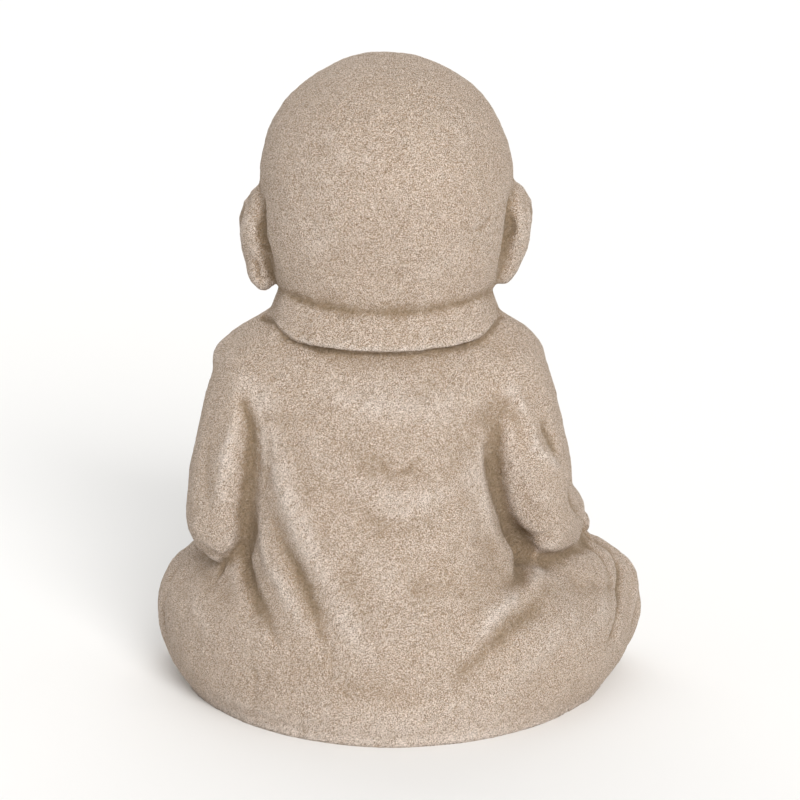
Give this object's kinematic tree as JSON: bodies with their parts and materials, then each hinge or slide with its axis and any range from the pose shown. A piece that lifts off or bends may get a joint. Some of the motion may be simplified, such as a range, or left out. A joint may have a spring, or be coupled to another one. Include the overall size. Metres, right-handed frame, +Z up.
{
  "type": "stone jizo statue",
  "caption": "Seated child monk cast in stone, with a round bald head, long ears, a robe with a broad neckband and folded legs, for standing in a garden or indoors.",
  "frame": {"origin": "middle of the flat underside, below the neck", "axes": "+Z up through the crown, -Y the way the figure faces, +X towards the figure's own left"},
  "size_m": [0.2955, 0.2352, 0.3788],
  "materials": {
    "cast_stone": "matt, sandy, with dry-brushed light ridges and darker hollows"
  },
  "bodies": {
    "root": {"cast_figure": "cast_stone"}
  },
  "joints": []
}
